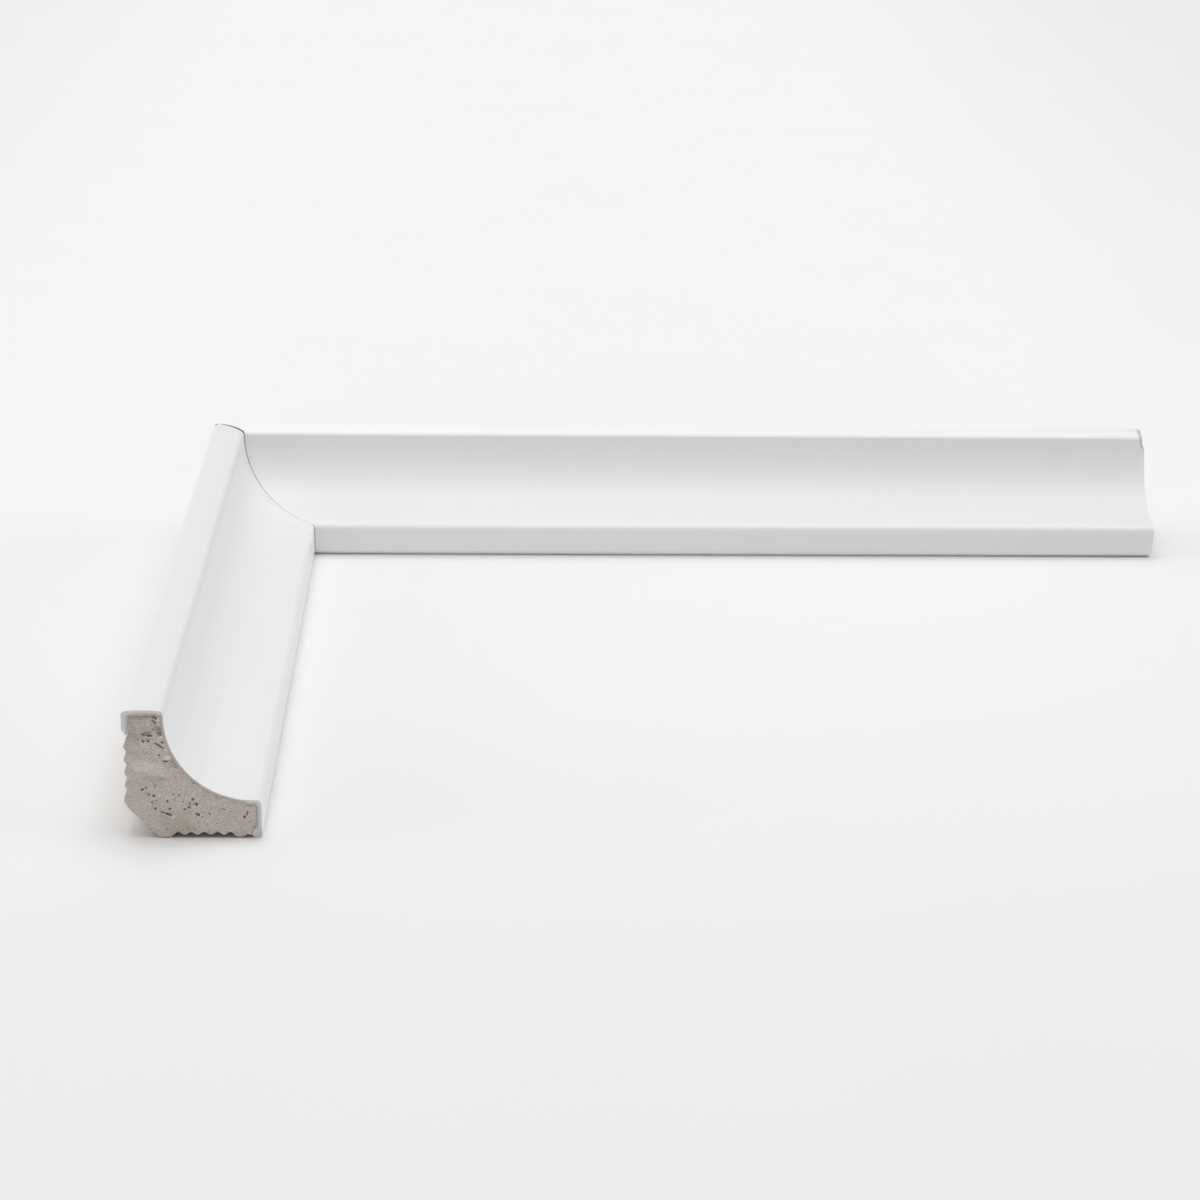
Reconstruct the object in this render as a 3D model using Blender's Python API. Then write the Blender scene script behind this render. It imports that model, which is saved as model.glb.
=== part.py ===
"""Mitred corner of film-wrapped cove skirting.

Two lengths of one cove moulding meet at a mitre. Each is a wooden core with a white film
wrapped over the faces that show. Metres, +Z up, origin at the bottom centre of the box.

A point of the section is (out, up): out from the wall, up from the floor. The long length
runs along +X, with the wall behind it at +Y. The short length comes forward along -Y, with
the wall at its left, at -X.
"""

import math

import bmesh
import bpy

MM = 0.001

# Lengths along the wall side, from the corner to the square-cut end
LONG_LENGTH = 195.5 * MM
SHORT_LENGTH = 165.0 * MM

# Section of the moulding, over the film
SECTION_WIDTH = 22.0 * MM
SECTION_HEIGHT = 22.0 * MM
TOP_LIP_WIDTH = 6.8 * MM
FRONT_LIP_HEIGHT = 6.6 * MM
LIP_FLAT = 1.4 * MM
LIP_CROWN = 0.12 * MM
EDGE_RADIUS = 0.9 * MM
CORE_EDGE_RADIUS = 0.45 * MM

# Film: thin in the cove, thick round the lips and on the wall band, with a glue line under it
COVE_FILM = 0.3 * MM
LIP_FILM = 0.7 * MM
WALL_FILM = 0.95 * MM
GLUE_LINE = 0.15 * MM
THICKENS_FROM = 0.85
WALL_BAND = 3.0 * MM
BAND_TUCK_RUN = 1.15 * MM
BAND_TUCK = 0.5 * MM

# The film's other end, turned under the front lip and folded back up, a little clear of the floor
UNDER_GAP = 0.12 * MM
UNDER_TURN = 1.05 * MM
FOLD_FILM = 0.3 * MM
FOLD_RADIUS = 0.2 * MM
FOLD_LEAN = math.radians(27)
FOLD_CLEAR = 0.08 * MM

# Ribs of the wall side
WALL_SETBACK = 0.1 * MM
WALL_LAND = 0.8 * MM
RIB_SETBACK = 0.25 * MM
WALL_RIB_PITCH = 2.2 * MM
WALL_RIB_DEPTH = 0.5 * MM
BAND_GROOVE = 0.7 * MM

# Bevel between the wall side and the underside
BEVEL_WIDTH = 5.6 * MM
BEVEL_HEIGHT = 6.1 * MM
BEVEL_BULGE = 0.2 * MM
BEVEL_BULGES = 2

# Feet and ribs of the underside
BACK_FOOT = 1.7 * MM
FRONT_FOOT = 0.8 * MM
FOOT_SLOPE = 1.2 * MM
FRONT_GROOVE = 0.6 * MM
FRONT_GROOVE_RUN = 0.7 * MM
FRONT_EDGE_RAISE = 0.3 * MM
UNDER_HOLLOW = 0.95 * MM
UNDER_RIB_PITCH = 2.05 * MM
UNDER_RIB_DEPTH = 0.5 * MM

# Gap of the mitre, a little open at the wall side
MITRE_GAP_WALL = 0.5 * MM
MITRE_GAP_ROOM = 0.15 * MM

# Divisions of the curved stretches
COVE_STEPS = 24
EDGE_STEPS = 5
CROWN_STEPS = 8
WAVE_STEPS = 4
BULGE_STEPS = 5
SMOOTH_BELOW = math.radians(30)

WOOD = {"colour": (0.36, 0.29, 0.24), "roughness": 0.85}
WHITE_FILM = {"colour": (0.82, 0.82, 0.82), "roughness": 0.45}

# What follows from the sizes above
COVE_REACH = SECTION_WIDTH - TOP_LIP_WIDTH - LIP_FLAT
COVE_DROP = SECTION_HEIGHT - FRONT_LIP_HEIGHT - LIP_FLAT
LIP_EDGE = SECTION_HEIGHT - LIP_CROWN
BAND_END = LIP_EDGE - WALL_BAND - BAND_TUCK_RUN
TURN_RADIUS = FOLD_RADIUS + FOLD_FILM
FOLD_OUT = SECTION_WIDTH - UNDER_TURN
FOLD_CENTRE = (FOLD_OUT, UNDER_GAP + TURN_RADIUS)
FOLD_END = -math.pi - FOLD_LEAN
FOLD_TURNED = FOLD_OUT - FOLD_RADIUS * math.cos(FOLD_LEAN)
FOLD_LENGTH = (SECTION_WIDTH - LIP_FILM - FOLD_CLEAR - FOLD_TURNED) / math.sin(FOLD_LEAN)
CORE_UNDER_EDGE = FOLD_OUT - TURN_RADIUS - GLUE_LINE


def remove_everything():
    for thing in list(bpy.data.objects):
        bpy.data.objects.remove(thing, do_unlink=True)


def make_material(name, look):
    material = bpy.data.materials.new(name)
    material.use_nodes = True
    shader = material.node_tree.nodes["Principled BSDF"]
    shader.inputs["Base Color"].default_value = (*look["colour"], 1.0)
    shader.inputs["Roughness"].default_value = look["roughness"]
    shader.inputs["Metallic"].default_value = 0.0
    return material


def ease(share):
    """A smooth step from 0 to 1 with level ends."""
    return (1 - math.cos(math.pi * share)) / 2


def arc(centre, radius, start, end, steps):
    """Points of a circular arc, with its angles counted from out towards up."""
    points = []
    for i in range(steps + 1):
        angle = start + (end - start) * i / steps
        points.append((centre[0] + radius * math.cos(angle), centre[1] + radius * math.sin(angle)))
    return points


def outer_face(film):
    return 0.0


def inner_face(film):
    return film


def core_face(film):
    return film + GLUE_LINE


def band_tuck(below):
    """The film's end under the wall band, pressed thin from outside, as a depth below the film's face."""
    points = []
    for i in range(WAVE_STEPS):
        share = i / WAVE_STEPS
        tuck = max(below(WALL_FILM), BAND_TUCK * (1 - ease(share)))
        points.append((tuck, BAND_END + BAND_TUCK_RUN * share))
    return points


def edge_radius(below):
    """The radius of a rounded edge: large on the film, smaller on the core under it."""
    share = below(LIP_FILM) / core_face(LIP_FILM)
    return EDGE_RADIUS + (CORE_EDGE_RADIUS - EDGE_RADIUS) * share


def top_lip(below, start, end):
    """The top lip, crowned a little between its two edges."""
    points = []
    for i in range(1, CROWN_STEPS):
        share = i / CROWN_STEPS
        crown = LIP_CROWN * (1 - (2 * share - 1) ** 2)
        points.append((start + (end - start) * share, LIP_EDGE + crown - below(LIP_FILM)))
    return points


def cove(below):
    """The hollow: a quarter round from the top lip to the front lip, where the film grows thicker."""
    centre = (TOP_LIP_WIDTH + COVE_REACH, FRONT_LIP_HEIGHT + COVE_DROP)
    points = []
    for i in range(COVE_STEPS + 1):
        share = i / COVE_STEPS
        angle = math.pi / 2 * share
        across, down = math.cos(angle), math.sin(angle)
        thickening = ease(max(0.0, (share - THICKENS_FROM) / (1 - THICKENS_FROM)))
        depth = below(COVE_FILM + (LIP_FILM - COVE_FILM) * thickening)
        steepness = math.hypot(across / COVE_REACH, down / COVE_DROP)
        shift_out = depth * across / COVE_REACH / steepness
        shift_down = depth * down / COVE_DROP / steepness
        points.append(
            (centre[0] - COVE_REACH * across - shift_out, centre[1] - COVE_DROP * down - shift_down)
        )
    return points


def wrapped_faces(below):
    """The faces that the film covers, from the wall to the front, on its outside, its inside or the core."""
    radius = edge_radius(below)
    quarter = math.pi / 2
    top = LIP_EDGE - below(LIP_FILM) - radius
    wall_edge = (below(WALL_FILM) + radius, top)
    cove_edge = (TOP_LIP_WIDTH - below(COVE_FILM) - radius, top)
    front_edge = (SECTION_WIDTH - below(LIP_FILM) - radius, FRONT_LIP_HEIGHT - below(LIP_FILM) - radius)
    points = band_tuck(below)
    points.append((below(WALL_FILM), LIP_EDGE - WALL_BAND))
    points += arc(wall_edge, radius, 2 * quarter, quarter, EDGE_STEPS)
    points += top_lip(below, wall_edge[0], cove_edge[0])
    points += arc(cove_edge, radius, quarter, 0, EDGE_STEPS)
    points += cove(below)
    points += arc(front_edge, radius, quarter, 0, EDGE_STEPS)
    return points


def fold_leg(turned):
    """The film's free end, leaning from the end of its turn towards the front."""
    return (turned[0] + FOLD_LENGTH * math.sin(FOLD_LEAN), turned[1] + FOLD_LENGTH * math.cos(FOLD_LEAN))


def under_fold_outside():
    """The film's outside: round under the front lip and folded back up along the core."""
    down = -math.pi / 2
    front_turn = (SECTION_WIDTH - TURN_RADIUS, UNDER_GAP + TURN_RADIUS)
    points = arc(front_turn, TURN_RADIUS, 0, down, EDGE_STEPS)
    points += arc(FOLD_CENTRE, TURN_RADIUS, down, FOLD_END, EDGE_STEPS)
    return points + [fold_leg(points[-1])]


def under_fold_inside():
    """The same on the film's inside, where it thins from the front to the folded end."""
    down = -math.pi / 2
    front_turn = (SECTION_WIDTH - LIP_FILM - FOLD_RADIUS, UNDER_GAP + TURN_RADIUS)
    points = arc(front_turn, FOLD_RADIUS, 0, down, EDGE_STEPS)
    points += arc(FOLD_CENTRE, FOLD_RADIUS, down, FOLD_END, EDGE_STEPS)
    return points + [fold_leg(points[-1])]


def core_notch():
    """The core's lower front corner, cut back to clear the folded film."""
    clear = arc(FOLD_CENTRE, TURN_RADIUS + GLUE_LINE, -math.pi, FOLD_END, 1)
    foot, start = clear
    rise = FOLD_LENGTH * math.cos(FOLD_LEAN) + GLUE_LINE
    top = (start[0] + rise * math.tan(FOLD_LEAN), start[1] + rise)
    front = SECTION_WIDTH - core_face(LIP_FILM)
    return [(front, top[1] + front - top[0]), top, start, foot]


def ribs(length, pitch, depth):
    """Ribs from valley to valley along a length, as (distance, height above the valley)."""
    count = max(1, round(length / pitch))
    steps = 2 * WAVE_STEPS * count
    return [(length * i / steps, depth * ease(2 * count * i / steps)) for i in range(steps + 1)]


def underside():
    """Front edge, groove, front foot, ribbed hollow and back foot, from the front towards the wall."""
    groove = CORE_UNDER_EDGE - FRONT_GROOVE_RUN
    front_foot = groove - FRONT_GROOVE_RUN
    hollow_front = front_foot - FRONT_FOOT
    hollow_back = BEVEL_WIDTH + BACK_FOOT
    points = [(CORE_UNDER_EDGE, FRONT_EDGE_RAISE), (groove, FRONT_GROOVE), (front_foot, 0.0)]
    for i in range(WAVE_STEPS):
        share = i / WAVE_STEPS
        points.append((hollow_front - FOOT_SLOPE * share, UNDER_HOLLOW * ease(share)))
    ribbed = hollow_front - hollow_back - 2 * FOOT_SLOPE
    for along, height in ribs(ribbed, UNDER_RIB_PITCH, UNDER_RIB_DEPTH):
        points.append((hollow_front - FOOT_SLOPE - along, UNDER_HOLLOW - height))
    for i in range(1, WAVE_STEPS + 1):
        share = i / WAVE_STEPS
        points.append((hollow_back + FOOT_SLOPE * (1 - share), UNDER_HOLLOW * (1 - ease(share))))
    return points


def bevel():
    """The bevel from the underside up to the wall side, in shallow bulges."""
    across, rise = BEVEL_WIDTH - WALL_SETBACK, BEVEL_HEIGHT
    reach = math.hypot(across, rise)
    steps = BEVEL_BULGES * BULGE_STEPS
    points = []
    for i in range(steps + 1):
        share = i / steps
        bulge = BEVEL_BULGE * abs(math.sin(math.pi * BEVEL_BULGES * share))
        points.append(
            (BEVEL_WIDTH - across * share - bulge * rise / reach, rise * share - bulge * across / reach)
        )
    return points


def wall_side():
    """The ribbed wall side, from the bevel up to the groove under the wall band."""
    land_top = BEVEL_HEIGHT + WALL_LAND
    half_rib = WALL_RIB_PITCH / 2
    ribs_start = land_top + half_rib
    ribs_end = BAND_END - GLUE_LINE - BAND_GROOVE
    valley = RIB_SETBACK + WALL_RIB_DEPTH
    points = []
    for i in range(WAVE_STEPS):
        share = i / WAVE_STEPS
        level = WALL_SETBACK + (valley - WALL_SETBACK) * ease(share)
        points.append((level, land_top + half_rib * share))
    for along, height in ribs(ribs_end - ribs_start, WALL_RIB_PITCH, WALL_RIB_DEPTH):
        points.append((valley - height, ribs_start + along))
    points.append((valley, ribs_end + BAND_GROOVE / 2))
    points.append((core_face(WALL_FILM), BAND_END - GLUE_LINE))
    return points


def core_section():
    return wrapped_faces(core_face) + core_notch() + underside() + bevel() + wall_side()


def square_end(place):
    return lambda out: place


def mitred_end(side):
    """The mitred end's place along the length: side is +1 where it is the length's start, -1 where it is the end."""

    def place(out):
        share = out / SECTION_WIDTH
        gap = MITRE_GAP_WALL + (MITRE_GAP_ROOM - MITRE_GAP_WALL) * share
        return side * (out + gap / math.sqrt(2))

    return place


def ring(mesh, section, end):
    """The section's points at one end of a length that runs along X, with the room at -Y."""
    return [mesh.verts.new((end(out), -out, up)) for out, up in section]


def side_faces(mesh, start, end):
    for i in range(len(start)):
        j = (i + 1) % len(start)
        mesh.faces.new((start[i], end[i], end[j], start[j]))


def finish_mesh(mesh, name, material):
    bmesh.ops.recalc_face_normals(mesh, faces=mesh.faces)
    data = bpy.data.meshes.new(name)
    mesh.to_mesh(data)
    mesh.free()
    data.materials.append(material)
    data.shade_smooth()
    data.set_sharp_from_angle(angle=SMOOTH_BELOW)
    piece = bpy.data.objects.new(name, data)
    bpy.context.scene.collection.objects.link(piece)
    return piece


def make_core(name, start_end, far_end, material):
    mesh = bmesh.new()
    section = core_section()
    start = ring(mesh, section, start_end)
    end = ring(mesh, section, far_end)
    side_faces(mesh, start, end)
    mesh.faces.new(start)
    mesh.faces.new(end)
    return finish_mesh(mesh, name, material)


def make_film(name, start_end, far_end, material):
    mesh = bmesh.new()
    outer = wrapped_faces(outer_face) + under_fold_outside()
    inner = wrapped_faces(inner_face) + under_fold_inside()
    section = outer + inner[::-1]
    start = ring(mesh, section, start_end)
    end = ring(mesh, section, far_end)
    side_faces(mesh, start, end)
    last = len(section) - 1
    for cap in (start, end):
        for i in range(len(outer) - 1):
            mesh.faces.new((cap[i], cap[i + 1], cap[last - i - 1], cap[last - i]))
    return finish_mesh(mesh, name, material)


def make_length(name, start_end, far_end, turn, corner, materials):
    """One length of moulding, turned to its wall and hung on the corner."""
    core = make_core(name + "_core", start_end, far_end, materials["wood"])
    film = make_film(name + "_film", start_end, far_end, materials["film"])
    for piece in (core, film):
        piece.parent = corner
        piece.rotation_euler = (0.0, 0.0, turn)


def main():
    remove_everything()
    materials = {
        "wood": make_material("wood", WOOD),
        "film": make_material("white_film", WHITE_FILM),
    }
    corner = bpy.data.objects.new("corner", None)
    corner.location = (-LONG_LENGTH / 2, SHORT_LENGTH / 2, 0.0)
    bpy.context.scene.collection.objects.link(corner)
    make_length("long_length", mitred_end(1), square_end(LONG_LENGTH), 0.0, corner, materials)
    make_length(
        "short_length", square_end(-SHORT_LENGTH), mitred_end(-1), math.pi / 2, corner, materials
    )


main()
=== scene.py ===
"""Looks of a mitred corner of cove skirting: two wooden lengths wrapped in white film.

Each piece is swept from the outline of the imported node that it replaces. A place in a length is
(along, out, up): along from the corner, out from the wall and up from the floor, in metres.
"""

import math
import random
from collections import namedtuple

import bmesh
import bpy
from mathutils import Matrix, Vector, noise
from mathutils.geometry import delaunay_2d_cdt, intersect_point_line


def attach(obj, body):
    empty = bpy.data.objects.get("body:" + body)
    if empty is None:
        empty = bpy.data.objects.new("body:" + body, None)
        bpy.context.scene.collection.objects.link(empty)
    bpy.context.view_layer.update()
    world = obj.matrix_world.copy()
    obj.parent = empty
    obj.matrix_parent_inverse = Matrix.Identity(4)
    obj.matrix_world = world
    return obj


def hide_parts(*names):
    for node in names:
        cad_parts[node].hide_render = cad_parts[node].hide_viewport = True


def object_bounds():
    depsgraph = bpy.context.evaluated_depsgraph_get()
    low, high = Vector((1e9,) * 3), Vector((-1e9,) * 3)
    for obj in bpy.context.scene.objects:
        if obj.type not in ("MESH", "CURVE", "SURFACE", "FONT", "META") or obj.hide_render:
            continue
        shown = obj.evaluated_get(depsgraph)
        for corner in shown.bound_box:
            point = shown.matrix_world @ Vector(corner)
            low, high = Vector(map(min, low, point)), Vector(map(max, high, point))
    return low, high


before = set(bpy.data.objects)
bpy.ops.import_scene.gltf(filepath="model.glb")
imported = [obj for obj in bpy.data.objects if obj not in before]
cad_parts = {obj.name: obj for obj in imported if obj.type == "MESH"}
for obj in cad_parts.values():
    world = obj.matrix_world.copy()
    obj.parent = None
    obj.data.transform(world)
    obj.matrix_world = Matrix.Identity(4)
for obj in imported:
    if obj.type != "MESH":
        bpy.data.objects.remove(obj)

MM = 0.001

# Camera, placed from the outer corner of the two walls
CAMERA_FROM_CORNER = Vector((59.73, -607.85, 196.63)) * MM
CAMERA_PITCH = math.radians(19.383)
CAMERA_YAW = math.radians(-2.062)
CAMERA_ROLL = math.radians(0.869)
CAMERA_LENS = 89.864
SENSOR = 36.0

# Light of the studio: soft lobes, each by azimuth from +X and height in degrees
Lobe = namedtuple("Lobe", "azimuth height sharpness strength")
SKY_LOBES = [
    Lobe(0, 90, 10, 1.8),
    Lobe(90, 68, 10, 2.25),
    Lobe(0, 68, 10, 0.45),
    Lobe(180, 35, 4, 0.12),
    Lobe(90, 12, 16, 0.8),
    Lobe(130, 12, 16, 1.25),
    Lobe(0, 12, 16, 2.7),
    Lobe(180, 12, 16, 3.2),
    Lobe(270, 12, 16, 2.7),
]
FLOOR_SIZE = 6.0

# Painted light and shade on the film by its height, as a share of the section's height: lighter and darker
# bands that stand in for how the light falls
LONG_FILM_SHADING = [
    (0.0, 0.917), (0.12, 0.907), (0.24, 0.875), (0.265, 0.925), (0.29, 1.02), (0.304, 0.965),
    (0.35, 0.978), (0.39, 1.008), (0.432, 1.059), (0.48, 1.078), (0.53, 1.081), (0.58, 1.048),
    (0.62, 1.028), (0.68, 0.999), (0.74, 0.96), (0.805, 0.932), (0.86, 0.912), (0.957, 0.9),
    (0.975, 1.11), (0.99, 1.07),
]
SHORT_FILM_SHADING = [
    (0.0, 1.01), (0.27, 1.01), (0.3, 0.955), (0.36, 0.985), (0.45, 1.0), (0.55, 1.01), (0.69, 0.995),
    (0.85, 1.02), (0.93, 1.01), (0.975, 0.935),
]

# Painted light on the long film by its place along the length, as a share of the length from the corner:
# lighter near the corner, darker towards the free end
LONG_FILM_LIGHT_RUN = [(0.0, 1.022), (0.5, 1.0), (1.0, 0.975)]

# Colour of the film where its face is broken away
BROKEN_FILM = (0.5, 0.49, 0.48)

# Tone of the bare wood by its height: painted shade underneath, darker towards the floor
WOOD_FLOOR_SHADE = [(0.0, 0.16), (0.045, 0.2), (0.075, 1.0)]

# Painted light on the paper, by the distance from the middle of its pool of light, in millimetres
PAPER_LIGHT_MIDDLE = (-30.0, 120.0)
PAPER_LIGHT_FALLOFF = [(120, 1.015), (145, 1.01), (185, 0.985), (210, 0.975), (250, 0.945), (310, 0.93)]

# Scale of the noise in the materials, per metre: plain, and along the film, the wood and its pores
PER_METRE = 1000.0
FILM_STREAKS = 12.0
WOOD_STREAKS = 45.0
WOOD_PORES = 160.0

# Fineness of the meshes: along an outline, along a length, and over a cut end
FINE = 0.13 * MM
COARSE = 4.0 * MM
END_RINGS = [0.9 * MM, 0.6 * MM, 0.42 * MM, 0.32 * MM, 0.24 * MM, 0.16 * MM, 0.08 * MM, 0.0]
WOOD_GRID = 0.09 * MM
FILM_GRID = 0.12 * MM
GRID_CLEAR = 0.6
GRID_SHAKE = 0.25
GRID_SEED = 3
SAME_PLACE = 0.5e-3 * MM
SMOOTH_BELOW = math.radians(38)

# Relief of the sawn end grain, and the tints that go with it, with painted shade in its hollows and pits
# and at the floor, and painted highlight on the pits' rims
ARRIS = 0.06 * MM
RAGGED = 0.05 * MM
ARRIS_LUMPS = 0.35 * MM
SAW_PITCH = 0.55 * MM
SAW_DEPTH = 0.02 * MM
GRAIN_DEPTH = 0.22 * MM
# How much the fibres' tint follows their relief: painted shade in the deep ones, painted light on the proud
# ones, besides their own tone
GRAIN_SHADE_AND_TONE = 0.5
FIBRE_LENGTH = 0.9 * MM
FIBRE_WIDTH = 0.34 * MM
FIBRE_BEND = 0.5 * MM
BEND_SIZE = 2.5 * MM
GRIT_SIZE = 0.26 * MM
SWELL_SIZE = 1.3 * MM
# Height over which the end grain is darkened towards the floor, as painted shade
FLOOR_SHADE_UP = 0.4 * MM
PIT_REACH = 2.0
PIT_WIDER = 1.45
PIT_RAGGED = 0.45
PIT_LUMPS = 0.2 * MM
PIT_SPAN = 1.5
# Depth at which a pit's painted shade is full
PIT_SHADE_DEPTH = 0.3 * MM
RIM_REACH = 1.6
RIM_RISE = 0.09 * MM
# Paler tint of the pits' lower rims, a painted highlight
RIM_HIGHLIGHT = 0.9
PATCH_REACH = 1.35
PATCH_SOFT = 0.7
PATCH_RAGGED = 0.5
PATCH_LUMPS = 0.7 * MM

# Relief of the bare wood along the grain: the furrows' depth, and their length and width
FURROW_DEPTH = 0.05 * MM
FURROW_LENGTH = 9 * MM
FURROW_WIDTH = 0.45 * MM

# The film against the core, and how much darker the end grain is beside the film
FILM_GAP = 0.03 * MM
GLUE_REACH = 0.2 * MM
BORDER_DARKENING = 0.4
BORDER_DARKENING_WIDTH = 0.45 * MM

# The film's cut edge, paler away from the core
EDGE_TINT = 0.85
EDGE_TINT_WIDTH = 0.6 * MM
EDGE_LUMPS = 0.25 * MM

# The film's fold at the front foot, which begins this far out and reaches this far up
FOLD_OUT = 18.0 * MM
FOLD_UP = 2.4 * MM
# How much the cut edge is darkened low in the fold, as painted shade
FOLD_SHADE = 0.6

# The space inside the fold that is filled, the leg's inner face, the slit behind it and the notch above
FOLD_SPACE = (20.65 * MM, 21.5 * MM)
FOLD_FLOOR = 0.35 * MM
LEG_FACE = (20.77 * MM, 0.71 * MM)
LEG_LEAN = 0.511
LEG_UP = 1.7 * MM
LEG_THICK = 0.34 * MM
LEG_FOOT = 0.2 * MM
# The leg's cut edge painted as a highlight, this far behind its inner face
LEG_HIGHLIGHT = (0.07 * MM, 0.24 * MM)
SLIT = 0.05 * MM
SLIT_FOOT = 0.95 * MM
NOTCH_UP = 2.45 * MM
NOTCH_FILL = 0.27 * MM
NOTCH_RISE = 0.2 * MM
NOTCH_FALL = 0.5 * MM

# The mitre: its bow and its gap over the top lip, in the cove, at the front and at the outer corner
MITRE_TINT = 0.25
MITRE_SHUT = 0.03 * MM
MITRE_SHUT_FROM = 30.0 * MM
MITRE_BOW = 0.7 * MM
LIP_WIDTH = 6.8 * MM
LIP_EASE = 0.4 * MM
LIP_GAP = 0.58 * MM
LIP_GAP_FALL = 0.6
LIP_GAP_UP = 14 * MM
LIP_GAP_FROM = 1.3 * MM
COVE_GAP = 0.13 * MM
FRONT_GAP = 0.1 * MM
FRONT_GAP_FROM = 21.6 * MM
FRONT_GAP_RUN = 0.2 * MM
CORNER_GAP = 1.5 * MM
CORNER_OUT = 0.5 * MM
CORNER_REACH = 0.6 * MM
CORNER_UP = 20.9 * MM
CORNER_RISE = 0.6 * MM

# How far the front foot stands clear of the floor, and how far the long one settles in its middle
FRONT_LIFT = 0.62 * MM
LIFT_FROM = 20.9 * MM
LIFT_RUN = 1.1 * MM
LIFT_UP = 3.0 * MM
SETTLE = 0.11 * MM
SETTLE_FROM = 20.4 * MM
SETTLE_RUN = 0.1 * MM
SETTLE_UP = 0.6 * MM
SETTLE_SHARE = 0.25

# The chip in the long length's top lip, at its free end, and the broken edge of the film along it
CHIP_DEPTH = 0.62 * MM
CHIP_RUN = 6.0 * MM
CHIP_UP = 18.8 * MM
CHIP_RISE = 1.6 * MM
CHIP_LUMPS = 0.9 * MM
BREAK_WIDTH = 0.8 * MM
BREAK_DEPTH = 0.3 * MM
BREAK_OUT = (-0.5 * MM, 7.9 * MM)
BREAK_EASE = (0.4 * MM, 0.6 * MM)
BREAK_UP = 18.7 * MM
BREAK_RISE = 0.8 * MM
BREAK_LUMPS = 0.8 * MM

# The worn corner of the long length's front foot
FOOT_SLANT = 0.3 * MM
FOOT_CORNER = 0.3 * MM
FOOT_CORNER_UP = 1.3 * MM
FOOT_TOP = 6.4 * MM

# A pit or torn slit of the end grain: its middle, length, width, lean and depth
Pit = namedtuple("Pit", "out up length width lean depth")
PITS = [
    Pit(5.3, 20.75, 1.0, 0.22, -36, 0.5),
    Pit(5.3, 19.95, 0.85, 0.2, -44, 0.4),
    Pit(6.1, 18.0, 0.8, 0.42, -40, 0.35),
    Pit(3.55, 17.8, 0.75, 0.3, 0, 0.45),
    Pit(4.4, 17.62, 0.9, 0.26, -8, 0.6),
    Pit(4.1, 18.15, 1.2, 0.14, -5, 0.25),
    Pit(3.45, 16.6, 0.45, 0.3, 10, 0.45),
    Pit(4.25, 16.7, 0.5, 0.26, 20, 0.45),
    Pit(5.95, 15.9, 1.55, 0.2, -34, 0.5),
    Pit(6.45, 16.45, 0.5, 0.2, -50, 0.35),
    Pit(5.9, 14.27, 0.35, 0.18, -45, 0.3),
    Pit(6.8, 13.2, 0.85, 0.2, -6, 0.45),
    Pit(3.05, 8.35, 0.42, 0.26, 10, 0.4),
    Pit(3.65, 8.65, 0.4, 0.2, 30, 0.35),
    Pit(4.05, 7.48, 0.42, 0.24, -10, 0.4),
    Pit(4.85, 7.25, 0.5, 0.26, -12, 0.45),
    Pit(7.9, 7.5, 0.3, 0.18, 0, 0.25),
    Pit(8.85, 7.3, 0.35, 0.2, -20, 0.3),
    Pit(6.97, 6.3, 0.36, 0.26, 60, 0.4),
    Pit(4.5, 6.2, 0.36, 0.2, 0, 0.3),
    Pit(11.05, 6.65, 0.5, 0.28, -25, 0.5),
    Pit(11.6, 5.8, 0.42, 0.32, -60, 0.45),
    Pit(10.55, 6.0, 0.4, 0.2, 30, 0.3),
    Pit(10.35, 5.25, 0.6, 0.2, -20, 0.35),
    Pit(9.75, 4.95, 0.4, 0.24, 20, 0.35),
    Pit(11.75, 4.0, 0.6, 0.3, -25, 0.55),
    Pit(5.0, 5.0, 0.55, 0.26, -8, 0.45),
    Pit(7.3, 4.98, 0.36, 0.28, 45, 0.4),
    Pit(6.1, 4.4, 0.6, 0.16, -10, 0.35),
    Pit(7.05, 4.05, 1.15, 0.24, -20, 0.7),
    Pit(19.2, 3.6, 0.5, 0.36, 15, 0.5),
    Pit(19.6, 4.25, 0.75, 0.16, 80, 0.35),
    Pit(13.65, 4.15, 0.36, 0.24, 60, 0.3),
    Pit(15.7, 5.0, 0.3, 0.18, 30, 0.2),
]

# Pits strewn by chance: small ones over both cut ends, and larger ones over the long length's
STRAY_OUT = (0.8, 21.0)
STRAY_UP = (1.2, 20.5)
STRAY_LENGTH = (0.15, 0.4)
STRAY_WIDTH = (0.1, 0.2)
STRAY_LEAN = (-60, 20)
STRAY_DEPTH = (0.08, 0.22)
STRAY_PITS = 110
SHORT_SEED = 11
LONG_SEED = 23
LARGE_PITS = 26
LARGE_SEED = 31
LARGER = 2.0

# A patch of the end grain, browner above nought and paler below: its middle, length, width, lean and tint
Patch = namedtuple("Patch", "out up length width lean tint")
PATCHES = [
    Patch(6.0, 18.4, 2.2, 1.1, -50, 0.5),
    Patch(3.2, 20.8, 4.6, 0.8, 0, 0.5),
    Patch(3.6, 19.0, 6.5, 4.0, 0, 0.22),
    Patch(8.0, 13.0, 1.9, 1.3, -40, 0.45),
    Patch(7.3, 13.8, 0.9, 0.7, 0, -0.7),
    Patch(2.9, 12.3, 2.6, 1.8, 0, -0.3),
    Patch(5.3, 11.6, 4.0, 2.0, -10, -0.15),
    Patch(5.1, 10.2, 3.4, 0.9, -5, 0.35),
    Patch(2.0, 17.0, 3.0, 2.2, 0, 0.22),
    Patch(2.3, 14.7, 2.8, 0.9, -5, 0.2),
    Patch(13.8, 8.0, 2.2, 1.2, -25, 0.22),
    Patch(8.0, 2.6, 4.6, 3.2, -20, 0.2),
    Patch(21.2, 4.3, 2.6, 0.35, 90, 0.8),
    Patch(20.5, 5.65, 1.9, 0.35, 0, 0.6),
]

BODY = "root"


# Places and outlines

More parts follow.
